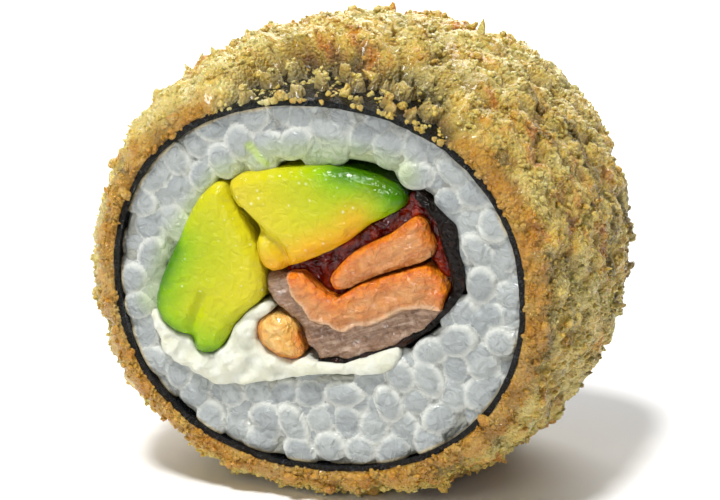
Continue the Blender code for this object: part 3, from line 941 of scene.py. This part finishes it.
def starchy(vert):
    """Pushes the mass back from both cuts, with soft bumps as large as grains."""
    co = vert.co.copy()
    if abs(co.y) > HALF - 3.0 * MM:
        co.y = math.copysign(min(abs(co.y), CORE_HALF + 0.12 * MM * crumbs(co, 3.1 * MM)), co.y)
    return co


move_points(core, starchy)
move_points(core, press_in)
print("core:", triangles(core), "triangles")

# %% Boiled rice
AVOCADO_SIDE = ((-17.5, -3.0), (-15.0, 3.5), (-10.0, 10.2), (-4.0, 12.9), (3.0, 13.6), (9.0, 12.4))
SMEAR = ((-6.9, 13.9), (-6.4, 13.3), (-5.8, 12.6), (-5.2, 12.2))


def write_rice_masks(obj):
    """Where the nori has left a cream line on the rice, and where the avocado has tinted it."""
    def by_nori(vert):
        co = vert.co
        gap = section_radius(angle_of(co), BELLY * swell(co.y)) - math.hypot(co.x, co.z - AXIS_HEIGHT)
        return smoothstep(0.5 * MM, 0.2 * MM, gap)

    def tint(vert):
        point = unturned(vert.co)
        smear = 0.7 * smoothstep(0.8, 0.1, to_line(point, SMEAR)) * float(vert.co.y < 0.0)
        return max(smear, 0.3 * smoothstep(2.6, 0.4, to_line(point, AVOCADO_SIDE)))

    write_mask(obj, "by_nori", by_nori)
    write_mask(obj, "tint", tint)


def rice_material(name, low, high, rim):
    """Milky rice from the colour low to high. Rim is the colour of a highlight painted on each grain's edge,
    or None for the mass, which gets no painted rims or crease shade.
    """
    made, tree, shader, place = new_material(
        name, Roughness=0.2, IOR=1.4, Specular_IOR_Level=0.5, Subsurface_Weight=0.8,
        Subsurface_Radius=(1.0, 1.0, 0.95), Subsurface_Scale=0.8 * MM)
    share = mottle(tree, place, 2.6 * MM, 1.6)
    if rim is not None:
        share = math_node(tree, "MULTIPLY_ADD", attribute(tree, "grain"), 0.5, times(tree, share, 0.5))
    colour = colour_ramp(tree, share, (0.0, low), (1.0, high))
    if rim is not None:
        # Painted highlight: a pale line round the edge of each grain.
        edge = range_node(tree, attribute(tree, "rim"), 0.55, 0.8, 0.0, 0.85)
        colour = blend_colours(tree, edge, colour, rim)
        # Painted shade: grey in the creases between grains.
        crease = range_node(tree, attribute(tree, "rim"), 0.84, 0.98, 0.0, 0.6)
        colour = blend_colours(tree, crease, colour, (146, 152, 148))
    colour = blend_colours(tree, attribute(tree, "tint"), colour, (188, 212, 92))
    colour = blend_colours(tree, times(tree, attribute(tree, "by_nori"), 0.9), colour, (222, 204, 160))
    plug(tree, shader, {"Base Color": colour})
    wet_film(tree, shader, place, 1.0 * MM, 0.14, 0.7, 1.1 * MM)
    return made


grain_material = rice_material("boiled_rice", (156, 162, 163), (184, 188, 185), (216, 218, 210))
core_material = rice_material("rice_starch", (160, 161, 150), (178, 179, 169), None)
for piece, material in ((front_grains, grain_material), (back_grains, grain_material), (core, core_material)):
    write_rice_masks(piece)
    finish_piece(piece, material, "rice", "rice")

# %% [markdown]
# ## The fillings: shared tools
#
# Each filling is a soft copy of its CAD solid. Remeshing gives it an even skin of small faces, and then the
# details of the real food are pressed into the skin in code, as with a sculpting brush: creases along a
# line, a gentle waviness, fibres. Lines are given in millimetres on the front cut, and follow the twist of
# the fillings, so they run all the way through the slice.

# %% Lines and creases on the cut
def crease(point, line, width, depth):
    """How deep a crease is at a point: width and depth in millimetres."""
    away = to_line(point, line) / width
    return depth * MM * math.exp(-away * away)


def near_line(line, far, near, most=1.0):
    """A rule for a mask: 0 far from a line, most near it. Both distances are in millimetres."""
    return lambda vert: most * smoothstep(far, near, to_line(unturned(vert.co), line))


def nowhere(vert):
    return 0.0


def on_cut(co):
    """1 on the two cut faces, 0 inside the roll."""
    return smoothstep(HALF - 1.8 * MM, HALF - 0.3 * MM, abs(co.y))


def press_face(obj, depth_at):
    """Moves the cut faces of a filling in or out: depth_at says how far a spot of the cut goes in."""
    def moved(vert):
        co = vert.co.copy()
        co.y -= math.copysign(depth_at(unturned(co), co) * on_cut(co), co.y)
        return co
    return move_points(obj, moved)


def ripple(co, size, height):
    return height * noise.noise(co / size)


def lean_to(obj, line, width, most):
    """Swells the rim of a piece towards a line of the cut, to close over what lies there."""
    def moved(vert):
        point = unturned(vert.co) / MM
        way = nearest_on_line(point, line) - point
        if not 0.0 < way.length < width:
            return vert.co
        step = min(most, way.length) * smoothstep(width, 0.3 * width, way.length) * on_cut(vert.co)
        return turned(vert.co, (point + way.normalized() * step) * MM)
    return move_points(obj, moved)


print("distance of the axis from a line, mm:", round(to_line(Vector((0, 0)), ((1, -1), (1, 1))), 2))

# %% [markdown]
# ## Avocado
#
# Ripe avocado is yellow near the stone and turns lime and then deep green within the last few millimetres
# under its skin. So the colour has to follow the distance to the skin side, which is stored on the mesh and
# read by a colour ramp. The flesh is smooth and moist, with a soft edge where the knife dragged over it, and
# tiny drops stand on it, whose glints are painted as pale specks.

# %% Two pieces of avocado
SLICE_SKIN_SIDE = ((3.2, 13.7), (7.0, 12.7), (9.2, 11.4), (10.7, 9.9), (10.4, 8.6))
WEDGE_SKIN_SIDE = ((-14.9, 3.0), (-17.3, -2.5), (-17.6, -4.5), (-15.3, -6.6), (-12.5, -8.4), (-10.8, -8.4))
LOBE_CREASE = ((-7.6, 7.2), (-6.4, 6.1), (-5.3, 5.4), (-4.1, 4.6), (-3.3, 3.7), (-2.9, 2.6), (-3.1, 1.3))
WEDGE_CREASE = ((-11.9, -1.9), (-12.3, -3.1), (-12.9, -4.7), (-13.2, -6.6))
SAUCE_SIDE = ((-5.0, 1.0), (-2.5, 1.6), (0.2, 3.1), (3.2, 5.0), (5.6, 7.0), (8.0, 8.6))

avocado_slice = soft_copy("avocado_slice_flesh", "avocado_slice", EVEN_MESH, 0.16 * MM)


def slice_face(point, co):
    depth = crease(point, LOBE_CREASE, 0.55, 0.75)
    rim = smoothstep(2.6, 0.2, to_line(point, SAUCE_SIDE))
    return depth + rim * ripple(co, 1.3 * MM, 0.35 * MM) + ripple(co, 2.2 * MM, 0.12 * MM)


press_face(avocado_slice, slice_face)
write_mask(avocado_slice, "skin_side", lambda vert: to_line(unturned(vert.co), SLICE_SKIN_SIDE) / 12.0)


def stain(vert):
    """Sauce has soaked into the lower side, less towards the green tip."""
    point = unturned(vert.co)
    return smoothstep(4.2, 0.2, to_line(point, SAUCE_SIDE)) * smoothstep(8.0 * MM, 3.0 * MM, point.x)


write_mask(avocado_slice, "stain", stain)

avocado_wedge = soft_copy("avocado_wedge_flesh", "avocado_wedge", EVEN_MESH, 0.16 * MM)


def wedge_face(point, co):
    lines = ripple(Vector((point.x * 0.35 + point.y, point.y * 0.2, 0.0)), 0.8 * MM, 0.07 * MM)
    return crease(point, WEDGE_CREASE, 0.6, 0.55) + lines + ripple(co, 2.4 * MM, 0.15 * MM)


def wedge_skin_side(vert):
    """The wedge was cut a little further from its skin than the slice, by 1.3 mm."""
    return (to_line(unturned(vert.co), WEDGE_SKIN_SIDE) + 1.3) / 12.0


press_face(avocado_wedge, wedge_face)
write_mask(avocado_wedge, "skin_side", wedge_skin_side)
write_mask(avocado_wedge, "stain", nowhere)

# %% Avocado flesh
avocado_material, tree, shader, place = new_material(
    "avocado_flesh", Roughness=0.3, Subsurface_Weight=0.25, Subsurface_Radius=(1.0, 0.9, 0.1),
    Subsurface_Scale=0.6 * MM, Specular_IOR_Level=0.28)
soft = mottle(tree, place, 2.5 * MM, 1.5)
centred = math_node(tree, "SUBTRACT", soft, 0.5)
wobble = math_node(tree, "MULTIPLY_ADD", centred, 0.08, attribute(tree, "skin_side"))
colour = colour_ramp(tree, wobble, (0.03, (26, 74, 0)), (0.14, (78, 132, 2)), (0.25, (142, 182, 0)),
                     (0.42, (180, 190, 6)), (0.74, (204, 196, 26)), (1.0, (208, 192, 42)))
uneven = math_node(tree, "MULTIPLY_ADD", soft, 0.6, 0.55)
stained = math_node(tree, "MULTIPLY", attribute(tree, "stain"), uneven, clamp=True)
colour = blend_colours(tree, stained, colour, (228, 158, 18))
beads = effect(tree, DROPLETS, place, Size=0.8 * MM)["Height"]
# Painted highlight: the glints of the drops are painted as pale specks.
colour = blend_colours(tree, times(tree, beads, 0.5), colour, (255, 252, 214))
plug(tree, shader, {"Base Color": colour})
bump(tree, shader, beads, 0.5, 0.04 * MM, wet_film(tree, shader, place, 0.9 * MM, 0.2, 0.5, 0.7 * MM))
finish_piece(avocado_slice, avocado_material, "avocado", "avocado_slice")
finish_piece(avocado_wedge, avocado_material, "avocado", "avocado_wedge")

# %% [markdown]
# ## Salmon
#
# The fish was cooked with a glaze. Where the glaze took hold its edges are orange and shiny, its flesh is
# tan with fine fibres, and the fat layer under the skin is grey brown. The large piece shows both layers,
# with the pale flesh hanging over the brown one in scallops, and a highlight painted along that lip.

# %% Strip, slab and chunk
FLESH_EDGE = ((-3.2, 1.4), (-2.9, 0.0), (-2.0, -1.5), (-1.3, -1.9), (-0.5, -3.3), (1.4, -3.5), (2.2, -4.2),
              (3.2, -4.1), (4.1, -3.3), (5.6, -3.2), (7.3, -2.4), (8.9, -1.3), (10.9, -0.9), (12.6, -0.6),
              (14.0, -1.2))
STRIP_GLAZE = ((2.2, -0.2), (1.4, 0.8), (2.2, 2.6), (4.6, 4.8), (7.8, 6.6), (9.8, 8.2), (11.3, 8.4),
               (12.2, 6.2))
SLAB_GLAZE = ((-3.0, 1.2), (-1.4, 1.6), (0.2, 0.4), (2.2, -0.8), (4.2, 0.9), (6.3, 1.8), (8.9, 2.8),
              (11.4, 3.7), (13.2, 2.6), (13.8, 0.8))
CHUNK_GLAZE = ((-6.2, -4.0), (-6.3, -6.0), (-5.4, -7.0), (-2.6, -7.9), (-1.3, -7.0), (-2.0, -5.2))
SKIN_UNDER = ((0.2, -7.7), (3.0, -7.6), (5.6, -6.4), (8.8, -5.1), (11.6, -2.9), (13.2, -1.0))


def fibres_along(point, turn, size, height):
    """Fine ridges along a direction of the cut, as fish muscle has them."""
    u = point.x * math.cos(turn) + point.y * math.sin(turn)
    v = -point.x * math.sin(turn) + point.y * math.cos(turn)
    return height * noise.fractal(Vector((u / (size * 5.0), v / size, 0.3)), 0.8, 2.0, 3)


def write_fish_masks(obj, turn, **rules):
    """Where glaze and fat are, where a highlight is painted along the pale lip, and where a point lies along,
    through and across the fibres.
    """
    c, s = math.cos(turn), math.sin(turn)

    def fibre_place(vert):
        point = unturned(vert.co)
        return (point.x * c + point.y * s, vert.co.y, point.y * c - point.x * s)

    for name in ("glaze", "fat", "lip"):
        write_mask(obj, name, rules.get(name, nowhere))
    write_places(obj, "fibre", fibre_place)


salmon_strip = soft_copy("salmon_strip_flesh", "salmon_strip", 0.22 * MM, 0.16 * MM)
press_face(salmon_strip,
           lambda point, co: fibres_along(point, 0.55, 0.7 * MM, 0.2 * MM) + ripple(co, 1.6 * MM, 0.4 * MM))
write_fish_masks(salmon_strip, 0.5, glaze=near_line(STRIP_GLAZE, 1.6, 0.1))

salmon_slab = soft_copy("salmon_slab_flesh", "salmon_slab", EVEN_MESH, 0.16 * MM)


def below_flesh(point):
    """1 in the brown layer, 0 in the pale flesh: the side of the boundary line that a point lies on."""
    p = point / MM
    edge = FLESH_EDGE[-1][1]
    if p.x < FLESH_EDGE[0][0]:
        return 1.0
    for (ax, az), (bx, bz) in zip(FLESH_EDGE, FLESH_EDGE[1:]):
        if ax <= p.x <= bx:
            edge = az + (bz - az) * (p.x - ax) / max(1e-6, bx - ax)
    return smoothstep(edge + 0.12, edge - 0.12, p.y)


def slab_face(point, co):
    brown = below_flesh(point)
    flesh = fibres_along(point, 0.35, 0.9 * MM, 0.2 * MM) + ripple(co, 1.5 * MM, 0.45 * MM)
    skin = fibres_along(point, 0.45, 0.5 * MM, 0.16 * MM) + ripple(co, 1.2 * MM, 0.25 * MM)
    return flesh * (1.0 - brown) + (skin + 0.3 * MM) * brown


press_face(salmon_slab, slab_face)
write_fish_masks(salmon_slab, 0.35, glaze=near_line(SLAB_GLAZE, 2.0, 0.3),
                 lip=near_line(FLESH_EDGE, 0.55, 0.15), fat=lambda vert: below_flesh(unturned(vert.co)))
lean_to(salmon_slab, SKIN_UNDER, 1.7, 0.7)

salmon_chunk = soft_copy("salmon_chunk_flesh", "salmon_chunk", FINE_MESH, 0.18 * MM)
press_face(salmon_chunk, lambda point, co: ripple(co, 1.3 * MM, 0.3 * MM))
write_fish_masks(salmon_chunk, -0.9, glaze=near_line(CHUNK_GLAZE, 0.9, 0.1, 0.75))
print("salmon triangles:", [triangles(piece) for piece in (salmon_strip, salmon_slab, salmon_chunk)])

# %% Cooked salmon
def salmon_material(name, flesh_low, flesh_high):
    made, tree, shader, place = new_material(
        name, Roughness=0.28, Subsurface_Weight=0.25, Subsurface_Radius=(1.0, 0.4, 0.15),
        Subsurface_Scale=0.7 * MM, Specular_IOR_Level=0.4, Coat_Weight=0.4, Coat_Roughness=0.07)
    # The mesh stores where each point lies along, through and across the fibres of the fish.
    drawn = stretched(tree, attribute(tree, "fibre", "Vector"), (420.0, 300.0, 2400.0))
    fibres = noise_node(tree, drawn, 1.0, 4.0, 0.6, 0.5)
    pale = range_node(tree, fibres, 0.35, 0.65)
    soft = mottle(tree, place, 1.6 * MM, 2.0)
    fine = mottle(tree, place, 0.7 * MM, 2.4)
    flesh = colour_ramp(tree, math_node(tree, "MULTIPLY_ADD", pale, 0.3, times(tree, soft, 0.7)),
                        (0.1, flesh_low), (0.9, flesh_high))
    fat = colour_ramp(tree, math_node(tree, "MULTIPLY_ADD", pale, 0.6, times(tree, fine, 0.4)),
                      (0.0, (112, 74, 46)), (0.5, (152, 118, 92)), (1.0, (202, 172, 148)))
    glaze = colour_ramp(tree, fine, (0.0, (204, 84, 2)), (1.0, (240, 146, 22)))
    layer = attribute(tree, "fat")
    above = math_node(tree, "SUBTRACT", 1.0, layer)
    colour = blend_colours(tree, layer, flesh, fat)
    uneven = math_node(tree, "MULTIPLY_ADD", soft, 0.8, 0.5)
    take = math_node(tree, "MULTIPLY", attribute(tree, "glaze"), uneven, clamp=True)
    colour = blend_colours(tree, times(tree, take, above), colour, glaze)
    # Painted highlight along the lip, where the pale flesh hangs over the brown layer.
    lip = times(tree, times(tree, attribute(tree, "lip"), above), 0.7)
    colour = blend_colours(tree, lip, colour, (240, 204, 164))
    plug(tree, shader, {"Base Color": colour})
    ridges = bump(tree, shader, fibres, 0.4, 0.4 * MM)
    wet_film(tree, shader, place, 0.8 * MM, 0.14, 0.8, 1.1 * MM, ridges)
    return made


fish_material = salmon_material("cooked_salmon", (190, 106, 34), (218, 158, 96))
finish_piece(salmon_strip, fish_material, "salmon", "salmon_strip")
finish_piece(salmon_slab, fish_material, "salmon", "salmon_slab")
chunk_material = salmon_material("pale_salmon", (222, 156, 52), (238, 196, 118))
finish_piece(salmon_chunk, chunk_material, "salmon", "salmon_chunk")

# %% [markdown]
# ## Skin and sauce
#
# A black band of fish skin wraps the right side and runs on under the fish. The sauce is a thick dark red
# glaze: it fills the hollows between the fillings, and lies lower than they do. Both are smooth and wet, so
# their forms show by long bright highlights.

# %% Skin and sauce pieces
def sunk_skin(point, co):
    """The band lies lower where the slab hangs over it."""
    return ripple(co, 1.4 * MM, 0.4 * MM) + 0.4 * MM * smoothstep(1.2, 0.4, to_line(point, SKIN_UNDER))


skin = soft_copy("salmon_skin_band", "salmon_skin", FINE_MESH, 0.16 * MM)
press_face(skin, sunk_skin)
skin_material = moist_material(
    "glossy_fish_skin", (1.8 * MM, 2.0), ((0.0, (10, 6, 4)), (0.6, (20, 12, 8)), (1.0, (58, 26, 10))),
    (1.1 * MM, 0.16, 0.9, 1.1 * MM), Roughness=0.15, Specular_IOR_Level=0.2)
finish_piece(skin, skin_material, "salmon_skin", "salmon_skin")

sauce = soft_copy("sauce_glaze", "sauce", FINE_MESH, 0.3 * MM, 3)
press_face(sauce, lambda point, co: ripple(co, 1.5 * MM, 0.9 * MM) - 0.35 * MM)
sauce_material = moist_material(
    "dark_glaze", (2.0 * MM, 2.6), ((0.0, (34, 0, 0)), (0.55, (92, 4, 0)), (1.0, (156, 44, 2))),
    (1.6 * MM, 0.1, 0.8, 1.2 * MM), Roughness=0.08, Specular_IOR_Level=0.38)
finish_piece(sauce, sauce_material, "sauce", "sauce")

# %% [markdown]
# ## Cream cheese
#
# The soft cheese was squeezed out under the avocado and the fish when the roll was cut, and smeared over the
# rice. It is matt white and lumpy, without a hard edge anywhere.

# %% The cheese
def lumpy(point, co):
    return ripple(co, 2.0 * MM, 0.5 * MM) + ripple(co, 0.9 * MM, 0.3 * MM) - 0.25 * MM


cheese = soft_copy("soft_cheese", "cream_cheese", EVEN_MESH, 0.22 * MM, 6)
press_face(cheese, lumpy)
lean_to(cheese, SKIN_UNDER, 1.4, 0.45)
cheese_material = moist_material(
    "soft_cheese", (2.2 * MM, 1.8), ((0.0, (206, 206, 178)), (1.0, (228, 229, 220))),
    (0.8 * MM, 0.38, 0.5, 0.5 * MM), Roughness=0.4, Subsurface_Weight=0.6,
    Subsurface_Radius=(1.0, 0.95, 0.8), Subsurface_Scale=0.9 * MM)
finish_piece(cheese, cheese_material, "cream_cheese", "cream_cheese")

# %% [markdown]
# ## Floor, light and camera
#
# The slice lies on a plain pale floor. A strong sun stands almost overhead, a little in front, and throws a
# short soft shadow. A weak and very broad one fills in the cut face. A wide light behind the slice shines
# over the wet cut and the rim of crumbs, and two small lights in front make the glints on the fillings. The
# camera stands where the photograph was taken from.

# %% Floor
bpy.ops.mesh.primitive_plane_add(size=6.0)
floor = bpy.context.active_object
floor.name = "floor"
floor_material, tree, shader, place = new_material("pale_floor", Roughness=0.8)
pale = colour_ramp(tree, mottle(tree, place, 0.2, 0.6), (0.0, (238, 238, 238)), (1.0, (244, 244, 244)))
plug(tree, shader, {"Base Color": pale})
floor.data.materials.append(floor_material)

# %% Lights
def add_lamp(name, kind, power, way, place=(0.0, 0.0, 0.0)):
    """A lamp at a place, which shines along way."""
    lamp = bpy.data.lights.new(name, kind)
    lamp.energy = power
    obj = new_object(name, lamp)
    obj.location = place
    obj.rotation_euler = Vector(way).to_track_quat("-Z", "Y").to_euler()
    return lamp


# A sun has the way it shines, its power, and the width it has in the sky, in degrees.
for name, way, power, softness in (("key_light", (0.10, 0.33, -0.93), 3.3, 12.0),
                                   ("fill_light", (0.12, 0.95, -0.25), 0.15, 50.0)):
    add_lamp(name, "SUN", power, way).angle = math.radians(softness)
# A round light has a place, a size and a power, and points at the middle of the slice.
for name, place, size, power in (("back_light", (-0.12, 0.5, 0.32), 0.5, 3.1),
                                 ("front_light", (-0.15, -0.43, 0.22), 0.14, 0.24),
                                 ("low_light", (-0.16, -0.47, 0.07), 0.09, 0.3)):
    lamp = add_lamp(name, "AREA", power, Vector((0.0, 0.0, 0.02)) - Vector(place), place)
    lamp.shape = "DISK"
    lamp.size = size

world = bpy.data.worlds.new("studio")
bpy.context.scene.world = world
world.use_nodes = True
plug(world.node_tree, world.node_tree.nodes["Background"], {"Color": (1.0, 1.0, 1.0, 1.0), "Strength": 0.15})
bpy.context.scene.view_settings.view_transform = "Standard"
print("lights:", [lamp.name for lamp in bpy.data.lights])

# %% Camera
CAMERA_SIDE = math.radians(18.7)
CAMERA_HEIGHT = math.radians(16.2)
CAMERA_DISTANCE = 0.300

away = Vector((math.sin(CAMERA_SIDE) * math.cos(CAMERA_HEIGHT),
               -math.cos(CAMERA_SIDE) * math.cos(CAMERA_HEIGHT), math.sin(CAMERA_HEIGHT)))
camera = new_object("camera", bpy.data.cameras.new("camera"))
camera.location = Vector((0.0, 0.0, AXIS_HEIGHT)) + away * CAMERA_DISTANCE
camera.rotation_euler = (-away).to_track_quat("-Z", "Y").to_euler()
camera.data.lens = 144.3
camera.data.sensor_width = 36.0
camera.data.shift_x = -0.0069
camera.data.shift_y = -0.0035
camera.data.clip_start = 0.01
bpy.context.scene.camera = camera
print("camera at, mm:", [round(c / MM) for c in camera.location])
